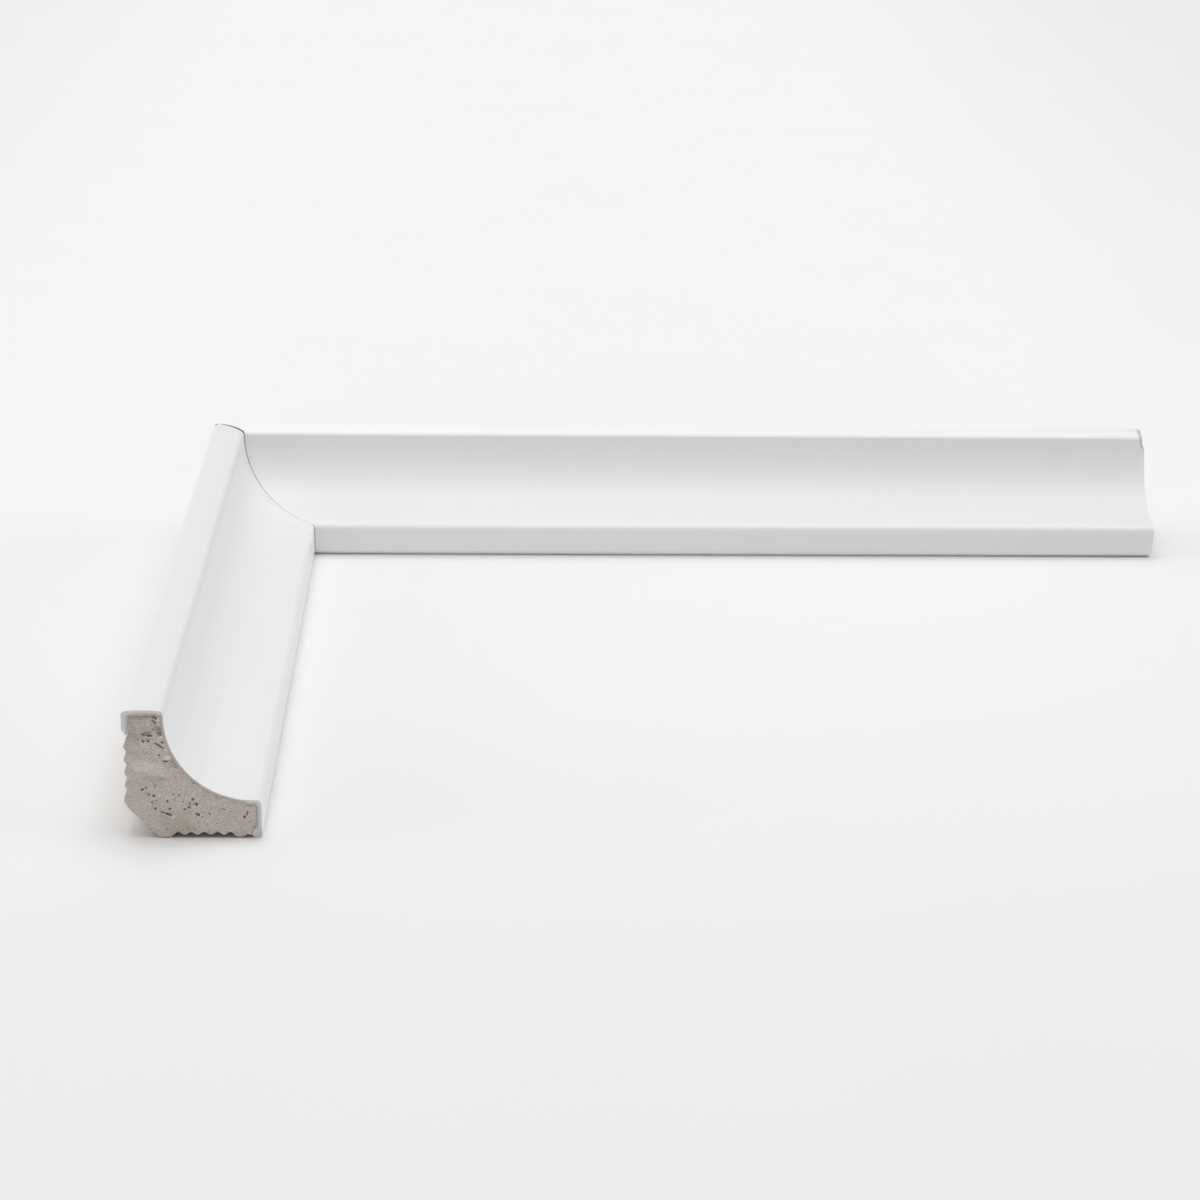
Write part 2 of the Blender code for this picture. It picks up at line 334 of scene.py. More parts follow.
low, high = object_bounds()
CORNER = Vector((low.x, high.y, low.z))
LONG_END = high.x - low.x
SHORT_END = high.y - low.y
SECTION = high.z - low.z


def ease(value):
    """A smooth rise from nought to one."""
    value = min(max(value, 0.0), 1.0)
    return value * value * (3 - 2 * value)


def front_lift(out, up):
    """How far a place of the front foot stands above its place in the plain section."""
    return FRONT_LIFT * ease((out - LIFT_FROM) / LIFT_RUN) * max(0.0, 1 - up / LIFT_UP)


def settled(along, out, up):
    """How far the film's foot sinks to the floor in the middle of the long length."""
    reach = SETTLE_SHARE * LONG_END
    middle = ease(along / reach) * ease((LONG_END - along) / reach)
    return SETTLE * middle * ease((out - SETTLE_FROM) / SETTLE_RUN) * max(0.0, 1 - up / SETTLE_UP)


def long_place(along, out, up):
    moved = front_lift(out, up) - settled(along, out, up)
    return Vector((CORNER.x + along, CORNER.y - out, CORNER.z + up + moved))


def short_place(along, out, up):
    near = 1 - along / SHORT_END
    return Vector((CORNER.x + out, CORNER.y - along, CORNER.z + up + front_lift(out, up) * near))


def long_part(point):
    """A point of the long length as (along, out, up)."""
    return (point.x - CORNER.x, CORNER.y - point.y, point.z - CORNER.z)


def short_part(point):
    """A point of the short length as (along, out, up)."""
    return (CORNER.y - point.y, point.x - CORNER.x, point.z - CORNER.z)


def end_outline(node, part, end):
    """The outline of a node's square end, in order, as (out, up)."""
    mesh = bmesh.new()
    mesh.from_mesh(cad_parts[node].data)
    bmesh.ops.remove_doubles(mesh, verts=mesh.verts, dist=SAME_PLACE)
    at_end = {v for v in mesh.verts if abs(part(v.co)[0] - end) < SAME_PLACE}
    neighbours = {}
    for edge in mesh.edges:
        a, b = edge.verts
        if a not in at_end or b not in at_end:
            continue
        on_cap = [all(v in at_end for v in face.verts) for face in edge.link_faces]
        if all(on_cap):
            continue
        neighbours.setdefault(a, []).append(b)
        neighbours.setdefault(b, []).append(a)
    first = min(neighbours, key=lambda v: part(v.co)[1:])
    chain, last, current = [first], None, first
    while True:
        following = [v for v in neighbours[current] if v is not last]
        last, current = current, following[0]
        if current is first:
            break
        chain.append(current)
    outline = [part(v.co)[1:] for v in chain]
    mesh.free()
    return outline if signed_area(outline) > 0 else outline[::-1]


def signed_area(outline):
    """The area inside an outline, below nought where it runs clockwise."""
    total = 0.0
    for (x0, y0), (x1, y1) in zip(outline, outline[1:] + outline[:1]):
        total += (x0 * y1 - x1 * y0) / 2
    return total


def refine(outline, step):
    """The same outline with no stretch longer than a step."""
    found = []
    for (x0, y0), (x1, y1) in zip(outline, outline[1:] + outline[:1]):
        count = max(1, math.ceil(math.hypot(x1 - x0, y1 - y0) / step))
        for i in range(count):
            found.append((x0 + (x1 - x0) * i / count, y0 + (y1 - y0) * i / count))
    return found


def outward(outline):
    """The direction out of the outline at each of its points."""
    found = []
    count = len(outline)
    for i in range(count):
        before, after = outline[i - 1], outline[(i + 1) % count]
        across = Vector((after[1] - before[1], before[0] - after[0]))
        found.append(across.normalized() if across.length > 0 else Vector((0.0, 1.0)))
    return found


def mitre(out, up, side):
    """Where a length starts at the mitre: open at the wall, shut at the room, bowed across the top lip."""
    over_lip = ease((LIP_WIDTH - out) / LIP_EASE) * ease((up - LIP_GAP_UP) / MM)
    lip_gap = LIP_GAP * (1 - LIP_GAP_FALL * min(out / LIP_WIDTH, 1.0))
    opening = COVE_GAP * (1 - out / MITRE_SHUT_FROM) * (1 - over_lip) + lip_gap * over_lip
    gap = max(MITRE_SHUT, opening * ease((out - LIP_GAP_FROM) / LIP_EASE))
    if side < 0:
        chipped = ease(1 - abs(out - CORNER_OUT) / CORNER_REACH) * ease((up - CORNER_UP) / CORNER_RISE)
        gap = max(gap, CORNER_GAP * chipped)
    gap = max(gap, FRONT_GAP * ease((out - FRONT_GAP_FROM) / FRONT_GAP_RUN))
    bow = MITRE_BOW * math.sin(math.pi * min(max(out / LIP_WIDTH, 0.0), 1.0))
    return out + gap + side * bow


def nearest_place(outline, point):
    """The place on a closed outline that is nearest to a point."""
    nearest, least = None, math.inf
    for first, second in zip(outline, outline[1:] + outline[:1]):
        a, b = Vector(first), Vector(second)
        spot, share = intersect_point_line(point, a, b)
        spot = a if share < 0 else b if share > 1 else spot.xy
        distance = (spot - point).length
        if distance < least:
            nearest, least = spot, distance
    return nearest


def leg_face(up):
    """Where the inner face of the turned-under leg stands at a height."""
    return LEG_FACE[0] + LEG_LEAN * (up - LEG_FACE[1])


def fold_filled(outline):
    """The film's outline with the space inside its fold filled, but for a slit behind the leg."""
    found = []
    for out, up in outline:
        if FOLD_SPACE[0] < out < FOLD_SPACE[1] and LEG_UP <= up < NOTCH_UP:
            out -= NOTCH_FILL * ease((up - LEG_UP) / NOTCH_RISE) * ease((NOTCH_UP - up) / NOTCH_FALL)
        if not FOLD_SPACE[0] < out < FOLD_SPACE[1] or not FOLD_FLOOR < up < LEG_UP:
            found.append((out, up))
            continue
        if up <= SLIT_FOOT:
            continue
        behind = leg_face(up) + SLIT
        if out > behind - SLIT / 2:
            out = min(out, behind)
        found.append((out, up))
    return found


def closed_up(outline, core):
    """The film's outline, its inner face brought close to the core, and each point's distance from it."""
    found, distances = [], []
    for place in outline:
        point = Vector(place)
        spot = nearest_place(core, point)
        distance = (point - spot).length
        turned_under = point.x > FOLD_OUT and point.y < FOLD_UP
        on_leg = FOLD_FLOOR < point.y < LEG_UP and point.x < leg_face(point.y) - LEG_THICK / 2
        if FILM_GAP < distance < GLUE_REACH and (on_leg or not turned_under):
            point = spot + (point - spot) * (FILM_GAP / distance)
            distance = FILM_GAP
        found.append((point.x, point.y))
        distances.append(distance)
    return found, distances


# Relief of the cut ends and of the long grain

def rough(out, up, size, layer=0.0):
    """Smooth noise over the section, about from -1 to 1, with lumps of a size."""
    return noise.noise(Vector((out, up, layer)) / size)


def strewn_pits(seed, count, larger):
    """Pits strewn over a cut end, small ones made larger by a factor."""
    strewn = random.Random(seed)
    found = []
    for _ in range(count):
        found.append(
            Pit(
                strewn.uniform(*STRAY_OUT),
                strewn.uniform(*STRAY_UP),
                strewn.uniform(*STRAY_LENGTH) * larger,
                strewn.uniform(*STRAY_WIDTH) * larger,
                strewn.uniform(*STRAY_LEAN),
                strewn.uniform(*STRAY_DEPTH) * larger,
            )
        )
    return found


def end_pits(length):
    """The pits of a length's cut end: those seen on the short one, and strewn ones on both."""
    if length == "short":
        return PITS + strewn_pits(SHORT_SEED, STRAY_PITS, 1.0)
    return strewn_pits(LONG_SEED, STRAY_PITS, 1.0) + strewn_pits(LARGE_SEED, LARGE_PITS, LARGER)


def spot_reach(spot, widened, out, up):
    """How far a place is from the middle of a leaning spot, squared: one on the spot's edge."""
    across, rise = out / MM - spot.out, up / MM - spot.up
    lean = math.radians(spot.lean)
    run = (across * math.cos(lean) + rise * math.sin(lean)) / (spot.length / 2)
    side = (rise * math.cos(lean) - across * math.sin(lean)) / (spot.width * widened / 2)
    return run * run + side * side


def pit_at(pits, out, up):
    """How deep the pits cut at a place of the end grain, and how far it is a pit's raised rim."""
    deepest, highest = 0.0, 0.0
    for pit in pits:
        rise = up / MM - pit.up
        if max(abs(out / MM - pit.out), abs(rise)) > PIT_SPAN * pit.length:
            continue
        reach = spot_reach(pit, PIT_WIDER, out, up) + PIT_RAGGED * rough(out, up, PIT_LUMPS)
        deepest = max(deepest, pit.depth * MM * ease((PIT_REACH - reach) / PIT_REACH))
        rim = ease(1 - abs(reach - PIT_REACH - RIM_REACH / 2) / RIM_REACH)
        # Rims count most below a pit, both in their rise and in their paler tint, a painted highlight on
        # the pit's lit lower lip
        highest = max(highest, rim * min(1.0, 2 * pit.depth) * (0.6 - 0.4 * math.copysign(1.0, rise)))
    return deepest, highest


def tint_at(out, up):
    """How brown, or how pale below nought, the end grain is at a place."""
    total = 0.0
    ragged = PATCH_RAGGED * rough(out, up, PATCH_LUMPS, 1.0)
    for patch in PATCHES:
        reach = spot_reach(patch, 1.0, out, up)
        total += patch.tint * ease(PATCH_REACH - PATCH_SOFT * reach + ragged)
    return min(max(total, -1.0), 1.0)


def torn_fibres(out, up):
    """The torn fibres of the sawn end grain, rippled aslant: deep above nought and proud below."""
    bent = rough(out, up, BEND_SIZE) * FIBRE_BEND
    aslant = Vector(((out + up + bent) / FIBRE_LENGTH, (up - out + bent) / FIBRE_WIDTH, 0.0))
    fibres = noise.noise(aslant) * 0.6 + rough(out, up, GRIT_SIZE) * 0.65
    return fibres + rough(out, up, SWELL_SIZE) * 0.35


def grain_depth(fibres, out, up):
    """The surface of the end grain, in metres below the cut."""
    saw = math.sin(2 * math.pi * (up * 0.94 + out * 0.34) / SAW_PITCH)
    return GRAIN_DEPTH * (0.5 + 0.5 * fibres) + SAW_DEPTH * (0.5 + 0.5 * saw)


def long_grain_depth(along, out, up):
    """Furrows that run along the length on the bare wood."""
    place = Vector((along / FURROW_LENGTH, out / FURROW_WIDTH, up / FURROW_WIDTH))
    return FURROW_DEPTH * (0.5 + 0.5 * noise.noise(place))


def chip(out, up):
    """How far the chipped top lip stops short of the long length's free end."""
    ragged = 0.92 + 0.25 * rough(out, up, CHIP_LUMPS)
    return CHIP_DEPTH * ragged * ease(out / CHIP_RUN) * ease((up - CHIP_UP) / CHIP_RISE)


def worn_foot(out, up):
    """How far the front foot stops short of the long length's free end."""
    if out < FOLD_OUT:
        return 0.0
    return FOOT_SLANT * max(0.0, 1 - up / FOOT_TOP) + FOOT_CORNER * ease(1 - up / FOOT_CORNER_UP)


def broken_edge(left, out, up, distance):
    """How deep the broken edge cuts into the film's outer face, and how worn the film is there."""
    inside = ease((out - BREAK_OUT[0]) / BREAK_EASE[0]) * ease((BREAK_OUT[1] - out) / BREAK_EASE[1])
    inside *= ease((up - BREAK_UP) / BREAK_RISE)
    width = BREAK_WIDTH * (1 + 0.35 * rough(out, up, BREAK_LUMPS))
    reach = ease(1.2 - left / width) * inside
    if distance < GLUE_REACH:
        return 0.0, reach
    return min(BREAK_DEPTH, 0.6 * distance) * reach, reach


# Meshes

def ring_shares(length):
    """Where the rings stand between a length's two ends, closer together near the free one."""
    count = max(8, round(length / COARSE))
    return [i / count for i in range(count)] + [1 - distance / length for distance in END_RINGS]


def cap_points(outline, step):
    """A grid of points inside an outline, a little shaken, clear of its edge."""
    shaken = random.Random(GRID_SEED)
    lowest = min(up for _, up in outline)
    highest = max(up for _, up in outline)
    clear = GRID_CLEAR * step
    found = []
    for row in range(1, math.floor((highest - lowest) / step)):
        level = lowest + step * row
        cuts = []
        for (x0, y0), (x1, y1) in zip(outline, outline[1:] + outline[:1]):
            if (y0 > level) != (y1 > level):
                cuts.append(x0 + (x1 - x0) * (level - y0) / (y1 - y0))
        cuts.sort()
        for start, end in zip(cuts[::2], cuts[1::2]):
            column = math.ceil((start + clear) / step)
            while column * step < end - clear:
                x = column * step + step * shaken.uniform(-GRID_SHAKE, GRID_SHAKE)
                found.append((x, level + step * shaken.uniform(-GRID_SHAKE, GRID_SHAKE)))
                column += 1
    return found


def add_cap(mesh, ring, outline, points, place, relief):
    """Closes a ring with a fine field of triangles, sunk, pitted and tinted as its relief says."""
    layers = mesh.verts.layers.float
    pitted, tinted = layers["pit"], layers["tint"]
    flat = [Vector(p) for p in outline] + [Vector(p) for p in points]
    edges = [(i, (i + 1) % len(outline)) for i in range(len(outline))]
    found, _, faces, origins, _, _ = delaunay_2d_cdt(flat, edges, [], 1, SAME_PLACE * 0.01)
    lookup = {}
    for i, sources in enumerate(origins):
        ringed = [s for s in sources if s < len(outline)]
        if ringed:
            lookup[i] = ring[ringed[0]]
            continue
        out, up = found[i]
        sunk, pit, tint = relief(out, up)
        vert = mesh.verts.new(place(out, up, sunk))
        vert[pitted] = pit
        vert[tinted] = tint
        lookup[i] = vert
    capped = []
    for face in faces:
        corners = [lookup[i] for i in face]
        if len(set(corners)) == 3:
            capped.append(mesh.faces.new(corners))
    return capped


def sweep(name, place, side, outline, end, sink, materials, grid, relief):
    """A length from the mitre, closed by a plain field, to its free end, closed by a worked one."""
    mesh = bmesh.new()
    layers = mesh.verts.layers.float
    for layer in ("pit", "tint"):
        layers.new(layer)
    worn, tinted = layers["pit"], layers["tint"]
    directions = outward(outline)
    rings = []
    for share in ring_shares(end(0.0, 0.0)):
        ring = []
        for i, ((out, up), direction) in enumerate(zip(outline, directions)):
            first, last = mitre(out, up, side), end(out, up)
            along = first + (last - ARRIS - first) * share
            depth, wear = sink(along, last - along, i)
            vert = mesh.verts.new(place(along, out - direction.x * depth, up - direction.y * depth))
            vert[worn] = wear
            vert[tinted] = MITRE_TINT
            ring.append(vert)
        rings.append(ring)
    rim, lip = [], []
    for i, ((out, up), direction) in enumerate(zip(outline, directions)):
        depth, wear = sink(end(out, up), 0.0, i)
        rim.append((out - direction.x * (depth + ARRIS), up - direction.y * (depth + ARRIS)))
        ragged = RAGGED * (0.5 + 0.5 * rough(out, up, ARRIS_LUMPS))
        lip.append(mesh.verts.new(place(end(out, up) - ragged, *rim[-1])))
        lip[-1][worn] = wear
        lip[-1][tinted] = relief(*rim[-1])[2]
    rings.append(lip)
    for ring, following in zip(rings[:-1], rings[1:]):
        for i in range(len(ring)):
            j = (i + 1) % len(ring)
            mesh.faces.new((ring[i], following[i], following[j], ring[j]))

    def cut(out, up, sunk):
        return place(end(out, up) - sunk, out, up)

    def at_mitre(out, up, sunk):
        return place(mitre(out, up, side), out, up)

    for face in add_cap(mesh, lip, rim, cap_points(rim, grid), cut, relief):
        face.material_index = 1
    for face in add_cap(mesh, rings[0], outline, [], at_mitre, relief):
        face.material_index = 1
    bmesh.ops.recalc_face_normals(mesh, faces=mesh.faces)
    data = bpy.data.meshes.new(name)
    mesh.to_mesh(data)
    mesh.free()
    for material in materials:
        data.materials.append(material)
    data.shade_smooth()
    data.set_sharp_from_angle(angle=SMOOTH_BELOW)
    piece = bpy.data.objects.new(name, data)
    bpy.context.scene.collection.objects.link(piece)
    return piece


# Materials

def new_material(name):
    material = bpy.data.materials.new(name)
    material.use_nodes = True
    tree = material.node_tree
    return material, tree, tree.nodes["Principled BSDF"]


def add_node(tree, kind, **settings):
    node = tree.nodes.new(kind)
    for key, value in settings.items():
        setattr(node, key, value)
    return node


def stretched_place(tree, scale):
    """The place on the object, stretched by a scale for each axis, per metre."""
    place = add_node(tree, "ShaderNodeTexCoord")
    mapping = add_node(tree, "ShaderNodeMapping")
    mapping.inputs["Scale"].default_value = scale
    tree.links.new(place.outputs["Object"], mapping.inputs["Vector"])
    return mapping.outputs["Vector"]


def fine_place(tree):
    """The place on the object in millimetres."""
    return stretched_place(tree, [PER_METRE] * 3)


def drawn_out_place(tree, axis, per_metre):
    """The place on the object in millimetres, drawn out along one axis."""
    scale = [PER_METRE] * 3
    scale[axis] = per_metre
    return stretched_place(tree, scale)


def split_place(tree):
    """The place on the object, split into X, Y and Z."""
    place = add_node(tree, "ShaderNodeTexCoord")
    split = add_node(tree, "ShaderNodeSeparateXYZ")
    tree.links.new(place.outputs["Object"], split.inputs["Vector"])
    return split.outputs


def vertex_value(tree, name):
    """A value that the mesh carries at its vertices."""
    return add_node(tree, "ShaderNodeAttribute", attribute_name=name).outputs["Fac"]


def noise_value(tree, vector, scale, detail=4.0, roughness=0.6):
    texture = add_node(tree, "ShaderNodeTexNoise")
    texture.inputs["Scale"].default_value = scale
    texture.inputs["Detail"].default_value = detail
    texture.inputs["Roughness"].default_value = roughness
    tree.links.new(vector, texture.inputs["Vector"])
    return texture.outputs["Fac"]


def ramp(tree, value, stops):
    """A colour for each value, between stops of a position and a colour."""
    node = add_node(tree, "ShaderNodeValToRGB")
    elements = node.color_ramp.elements
    while len(elements) < len(stops):
        elements.new(0.5)
    for element, (position, colour) in zip(elements, stops):
        element.position = position
        element.color = (*colour, 1.0)
    tree.links.new(value, node.inputs["Fac"])
    return node.outputs["Color"]


def spread(tree, value, low_value, high_value, from_low=0.3, from_high=0.7):
    """A value carried from one range to another, and held at its ends."""
    node = add_node(tree, "ShaderNodeMapRange")
    node.inputs["From Min"].default_value = from_low
    node.inputs["From Max"].default_value = from_high
    node.inputs["To Min"].default_value = low_value
    node.inputs["To Max"].default_value = high_value
    tree.links.new(value, node.inputs["Value"])
    return node.outputs["Result"]


def blend_colours(tree, kind, share, first, second):
    """Mixes two colours; the share is a number or a socket."""
    node = add_node(tree, "ShaderNodeMix", data_type="RGBA", blend_type=kind)
    if isinstance(share, float):
        node.inputs["Factor"].default_value = share
    else:
        tree.links.new(share, node.inputs["Factor"])
    for socket, value in (("A", first), ("B", second)):
        colour_socket = next(s for s in node.inputs if s.name == socket and s.type == "RGBA")
        if isinstance(value, tuple):
            colour_socket.default_value = (*value, 1.0)
        else:
            tree.links.new(value, colour_socket)
    return next(s for s in node.outputs if s.type == "RGBA")


def add_bump(tree, height, strength, distance, below=None):
    node = add_node(tree, "ShaderNodeBump")
    node.inputs["Strength"].default_value = strength
    node.inputs["Distance"].default_value = distance
    tree.links.new(height, node.inputs["Height"])
    if below is not None:
        tree.links.new(below, node.inputs["Normal"])
    return node.outputs["Normal"]


def math_node(tree, operation, first, second):
    """One step of arithmetic on a socket and a number or another socket."""
    node = add_node(tree, "ShaderNodeMath", operation=operation)
    tree.links.new(first, node.inputs[0])
    if isinstance(second, float):
        node.inputs[1].default_value = second
    else:
        tree.links.new(second, node.inputs[1])
    return node.outputs["Value"]


def tones(tree, share, shading_bands):
    """A grey for each share, between bands of a share and a tone."""
    return ramp(tree, share, [(at, (tone, tone, tone)) for at, tone in shading_bands])


def painted_shading_by_height(tree, shading_bands):
    """A tone for each height of the section, as a share of its whole height: painted light and shade by
    height.
    """
    share = spread(tree, split_place(tree)["Z"], 0.0, 1.0, CORNER.z, CORNER.z + SECTION)
    return tones(tree, share, shading_bands)


def painted_light_along_long(tree, shading_bands):
    """A tone for each place along the long length, as a share of it from the corner: painted light, lighter
    near the corner.
    """
    share = spread(tree, split_place(tree)["X"], 0.0, 1.0, CORNER.x, CORNER.x + LONG_END)
    return tones(tree, share, shading_bands)


def film_material(name, along_axis, shading_bands, run):
    """Satin white film with faint streaks along the length."""
    material, tree, shader = new_material(name)
    fine = fine_place(tree)
    streaks = noise_value(tree, drawn_out_place(tree, along_axis, FILM_STREAKS), 1.1, 3.0)
    clouds = noise_value(tree, fine, 0.09, 2.0)
    dimples = noise_value(tree, fine, 2.6, 2.0)
    tone = ramp(tree, streaks, [(0.3, (0.862, 0.864, 0.868)), (0.7, (0.878, 0.879, 0.88))])
    cloud = ramp(tree, clouds, [(0.3, (0.992, 0.992, 0.994)), (0.7, (1.0, 1.0, 1.0))])
    colour = blend_colours(tree, "MULTIPLY", 1.0, tone, cloud)
    # Painted light and shade on the film: tones by height, and for the long film along its length
    colour = blend_colours(tree, "MULTIPLY", 1.0, colour, painted_shading_by_height(tree, shading_bands))
    if run:
        colour = blend_colours(tree, "MULTIPLY", 1.0, colour, painted_light_along_long(tree, run))
    colour = blend_colours(tree, "MIX", vertex_value(tree, "pit"), colour, BROKEN_FILM)
    tree.links.new(colour, shader.inputs["Base Color"])
    tree.links.new(spread(tree, streaks, 0.40, 0.52), shader.inputs["Roughness"])
    shader.inputs["Specular IOR Level"].default_value = 0.35
    streak_bump = add_bump(tree, streaks, 0.12, 0.06 * MM)
    bump = add_bump(tree, dimples, 0.10, 0.03 * MM, streak_bump)
    tree.links.new(bump, shader.inputs["Normal"])
    return material


def film_edge_material():
    """The film's cut edge: sawn, and greyer than its face towards the core."""
    material, tree, shader = new_material("film_cut_edge")
    grit = noise_value(tree, fine_place(tree), 3.0, 4.0)
    # The lower tints serve both the grey near the core and the painted shade in the fold; the top one is
    # the painted highlight on the leg
    tone = ramp(
        tree,
        vertex_value(tree, "tint"),
        [
            (0.0, (0.37, 0.315, 0.27)),
            (0.2, (0.41, 0.365, 0.33)),
            (0.42, (0.53, 0.52, 0.52)),
            (0.85, (0.63, 0.625, 0.63)),
            (1.0, (0.9, 0.9, 0.9)),
        ],
    )
    speckle = ramp(tree, grit, [(0.3, (0.9, 0.9, 0.9)), (0.7, (1.08, 1.08, 1.08))])
    colour = blend_colours(tree, "MULTIPLY", 1.0, tone, speckle)
    tree.links.new(colour, shader.inputs["Base Color"])
    tree.links.new(spread(tree, grit, 0.6, 0.8), shader.inputs["Roughness"])
    shader.inputs["Specular IOR Level"].default_value = 0.25
    tree.links.new(add_bump(tree, grit, 0.4, 0.05 * MM), shader.inputs["Normal"])
    return material


def end_grain_material():
    """Sawn end grain: grey-beige, speckled by pores, dark in its pits from their own fibres and painted
    shade, warm in patches.
    """
    material, tree, shader = new_material("wood_end_grain")
    fine = fine_place(tree)
    pores = noise_value(tree, fine, 3.4, 5.0, 0.7)
    blotches = noise_value(tree, fine, 0.28, 3.0)
    warmth = noise_value(tree, fine, 0.5, 2.0)
    base = ramp(
        tree,
        blotches,
        [(0.32, (0.53, 0.472, 0.41)), (0.52, (0.555, 0.498, 0.462)), (0.68, (0.585, 0.535, 0.52))],
    )
    speckle = ramp(
        tree, pores, [(0.30, (0.62, 0.60, 0.58)), (0.46, (0.93, 0.93, 0.93)), (0.66, (1.08, 1.08, 1.08))]
    )
    colour = blend_colours(tree, "MULTIPLY", 1.0, base, speckle)
    patch = spread(tree, warmth, 0.0, 0.3, 0.58, 0.74)
    colour = blend_colours(tree, "MIX", patch, colour, (0.47, 0.36, 0.25))
    tint = vertex_value(tree, "tint")
    browner = spread(tree, tint, 0.0, 1.0, 0.0, 1.0)
    colour = blend_colours(tree, "MIX", browner, colour, (0.29, 0.245, 0.215))
    paler = spread(tree, tint, 1.0, 0.0, -1.0, 0.0)
    colour = blend_colours(tree, "MIX", paler, colour, (0.74, 0.705, 0.69))
    # Painted shade in the pits, stronger with their depth, over their own darker fibres
    pitted = spread(tree, vertex_value(tree, "pit"), 0.0, 0.8, 0.0, 1.0)
    colour = blend_colours(tree, "MIX", pitted, colour, (0.33, 0.27, 0.225))
    tree.links.new(colour, shader.inputs["Base Color"])
    tree.links.new(spread(tree, pores, 0.8, 0.95), shader.inputs["Roughness"])
    shader.inputs["Specular IOR Level"].default_value = 0.2
    tree.links.new(add_bump(tree, pores, 0.5, 0.12 * MM), shader.inputs["Normal"])
    return material


def long_grain_material(name, along_axis):
    """Bare machined wood along the grain: fine streaks, pores as short dashes."""
    material, tree, shader = new_material(name)
    streaks = noise_value(tree, drawn_out_place(tree, along_axis, WOOD_STREAKS), 0.8, 5.0, 0.65)
    dashes = noise_value(tree, drawn_out_place(tree, along_axis, WOOD_PORES), 3.2, 3.0, 0.6)
    clouds = noise_value(tree, fine_place(tree), 0.05, 3.0)
    base = ramp(
        tree,
        streaks,
        [(0.30, (0.40, 0.335, 0.265)), (0.50, (0.51, 0.45, 0.375)), (0.70, (0.58, 0.525, 0.455))],
    )
    speckle = ramp(tree, dashes, [(0.28, (0.60, 0.57, 0.54)), (0.42, (1.0, 1.0, 1.0))])
    colour = blend_colours(tree, "MULTIPLY", 0.8, base, speckle)
    shade = ramp(tree, clouds, [(0.35, (0.90, 0.88, 0.87)), (0.65, (1.03, 1.03, 1.03))])
    colour = blend_colours(tree, "MULTIPLY", 1.0, colour, shade)
    # Painted shade: the bare wood darker towards the floor
    colour = blend_colours(tree, "MULTIPLY", 1.0, colour, painted_shading_by_height(tree, WOOD_FLOOR_SHADE))
    tree.links.new(colour, shader.inputs["Base Color"])
    tree.links.new(spread(tree, streaks, 0.7, 0.9), shader.inputs["Roughness"])
    shader.inputs["Specular IOR Level"].default_value = 0.25
    furrows = add_bump(tree, streaks, 0.5, 0.12 * MM)
    bump = add_bump(tree, dashes, 0.4, 0.08 * MM, furrows)
    tree.links.new(bump, shader.inputs["Normal"])
    return material


# The two lengths

def distance_from(outline, out, up):
    """How far a place is from an outline."""
    point = Vector((out, up))
    return (nearest_place(outline, point) - point).length


def wood_relief(pits, film):
    """The end grain's depth, pits and tint: darker beside the film, with painted shade at the floor, in the
    pits and in the deeper fibres, and painted highlight on the pits' rims.
    """
    def relief(out, up):
        pit, rim = pit_at(pits, out, up)
        fibres = torn_fibres(out, up)
        depth = max(0.0, pit + grain_depth(fibres, out, up) - RIM_RISE * rim)
        border_dark = BORDER_DARKENING * ease(1 - distance_from(film, out, up) / BORDER_DARKENING_WIDTH)
        # Painted shade: the end grain darkened close to the floor
        floor_shade = ease(1 - up / FLOOR_SHADE_UP)
        # The fibres' tint is painted shade in the deeper ones and painted light on the proud ones, besides
        # their own tone
        tint = tint_at(out, up) + border_dark + floor_shade + GRAIN_SHADE_AND_TONE * fibres - RIM_HIGHLIGHT * rim
        # The pit value is painted shade, growing with the pit's depth
        return depth, ease(pit / PIT_SHADE_DEPTH), min(max(tint, -1.0), 1.0)

    return relief


def film_relief(core):
    """The film's cut edge: a little ragged, greyer towards the core, with painted shade low in the fold and
    a painted highlight on the turned-under leg.
    """
    def relief(out, up):
        ragged = RAGGED * (0.5 + 0.5 * rough(out, up, EDGE_LUMPS))
        tint = EDGE_TINT * ease(distance_from(core, out, up) / EDGE_TINT_WIDTH)
        if out > FOLD_OUT:
            # Painted shade: the cut edge darker low in the fold
            tint *= 1 - FOLD_SHADE * ease((FOLD_UP - up) / FOLD_UP)
        behind = leg_face(up) - out
        # Painted highlight on the leg's cut edge
        if LEG_FOOT < up < LEG_UP and LEG_HIGHLIGHT[0] < behind < LEG_HIGHLIGHT[1]:
            tint = 1.0
        return ragged, 0.0, tint

    return relief


def make_wood(length, place, side, part, end, materials):
    node = length + "_length_core"
    outline = refine(end_outline(node, part, end(0.0, 0.0)), FINE)
    film = end_outline(length + "_length_film", part, end(0.0, 0.0))

    def sink(along, left, i):
        return long_grain_depth(along, *outline[i]), 0.0

    relief = wood_relief(end_pits(length), film)
    wood = sweep(length + "_wood", place, side, outline, end, sink, materials, WOOD_GRID, relief)
    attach(wood, BODY)
    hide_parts(node)


def make_film(length, place, side, part, end, materials):
    node = length + "_length_film"
    core = end_outline(length + "_length_core", part, end(0.0, 0.0))
    whole = fold_filled(refine(end_outline(node, part, end(0.0, 0.0)), FINE))
    outline, distances = closed_up(whole, core)

    def sink(along, left, i):
        if length == "long" and left < 2 * BREAK_WIDTH:
            return broken_edge(left, *outline[i], distances[i])
        return 0.0, 0.0

    film = sweep(length + "_film", place, side, outline, end, sink, materials, FILM_GRID, film_relief(core))
    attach(film, BODY)
    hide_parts(node)


def long_free_end(out, up):
    """Where the long length stops, at its chipped and worn free end."""
    return LONG_END - chip(out, up) - worn_foot(out, up)


def short_free_end(out, up):
    """Where the short length stops, at its plain free end."""
    return SHORT_END


